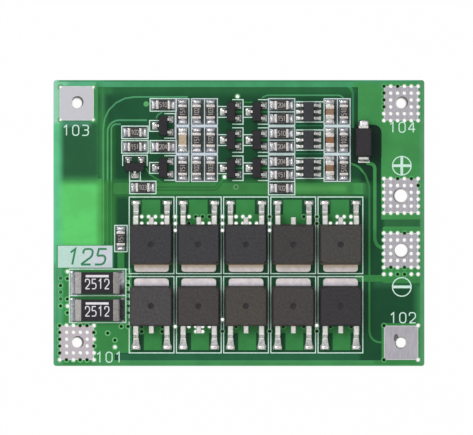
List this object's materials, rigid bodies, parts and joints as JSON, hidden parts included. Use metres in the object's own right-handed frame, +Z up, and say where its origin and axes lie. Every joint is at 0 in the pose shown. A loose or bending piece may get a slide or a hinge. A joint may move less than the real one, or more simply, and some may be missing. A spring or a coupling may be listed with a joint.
{
  "type": "battery management board",
  "caption": "Green circuit board that guards a lithium battery pack, with power transistors, a control circuit, current shunts and wire terminals.",
  "frame": {"origin": "centre of the board's underside, on the surface that it lies on", "axes": "+X along the board's length towards the load terminals, +Y towards the control circuit's edge, +Z up out of the component side"},
  "size_m": [0.055, 0.0424, 0.0035],
  "materials": {
    "solder_mask": "satin",
    "tinned_copper": "satin",
    "moulded_epoxy": "matte",
    "resistor_ceramic": "satin",
    "capacitor_ceramic": "satin"
  },
  "bodies": {
    "root": {"channel_1_capacitor_bodies": "capacitor_ceramic", "channel_1_capacitor_ends": "tinned_copper", "channel_1_ic_case": "moulded_epoxy", "channel_1_ic_leads": "tinned_copper", "channel_1_resistor_bodies": "resistor_ceramic", "channel_1_resistor_ends": "tinned_copper", "channel_1_transistor_cases": "moulded_epoxy", "channel_1_transistor_leads": "tinned_copper", "channel_2_capacitor_bodies": "capacitor_ceramic", "channel_2_capacitor_ends": "tinned_copper", "channel_2_ic_case": "moulded_epoxy", "channel_2_ic_leads": "tinned_copper", "channel_2_resistor_bodies": "resistor_ceramic", "channel_2_resistor_ends": "tinned_copper", "channel_2_transistor_cases": "moulded_epoxy", "channel_2_transistor_leads": "tinned_copper", "channel_3_capacitor_bodies": "capacitor_ceramic", "channel_3_capacitor_ends": "tinned_copper", "channel_3_ic_case": "moulded_epoxy", "channel_3_ic_leads": "tinned_copper", "channel_3_resistor_bodies": "resistor_ceramic", "channel_3_resistor_ends": "tinned_copper", "channel_3_transistor_cases": "moulded_epoxy", "channel_3_transistor_leads": "tinned_copper", "circuit_board": "solder_mask", "control_resistor_bodies": "resistor_ceramic", "control_resistor_ends": "tinned_copper", "control_transistor_cases": "moulded_epoxy", "control_transistor_leads": "tinned_copper", "diode_case": "moulded_epoxy", "diode_leads": "tinned_copper", "gate_resistor_body": "resistor_ceramic", "gate_resistor_ends": "tinned_copper", "load_lands": "tinned_copper", "mosfet_lower_case_1": "moulded_epoxy", "mosfet_lower_case_2": "moulded_epoxy", "mosfet_lower_case_3": "moulded_epoxy", "mosfet_lower_case_4": "moulded_epoxy", "mosfet_lower_case_5": "moulded_epoxy", "mosfet_lower_leadframe_1": "tinned_copper", "mosfet_lower_leadframe_2": "tinned_copper", "mosfet_lower_leadframe_3": "tinned_copper", "mosfet_lower_leadframe_4": "tinned_copper", "mosfet_lower_leadframe_5": "tinned_copper", "mosfet_upper_case_1": "moulded_epoxy", "mosfet_upper_case_2": "moulded_epoxy", "mosfet_upper_case_3": "moulded_epoxy", "mosfet_upper_case_4": "moulded_epoxy", "mosfet_upper_case_5": "moulded_epoxy", "mosfet_upper_leadframe_1": "tinned_copper", "mosfet_upper_leadframe_2": "tinned_copper", "mosfet_upper_leadframe_3": "tinned_copper", "mosfet_upper_leadframe_4": "tinned_copper", "mosfet_upper_leadframe_5": "tinned_copper", "shunt_body_1": "moulded_epoxy", "shunt_body_2": "moulded_epoxy", "shunt_terminals_1": "tinned_copper", "shunt_terminals_2": "tinned_copper", "tap_lands": "tinned_copper"}
  },
  "joints": []
}
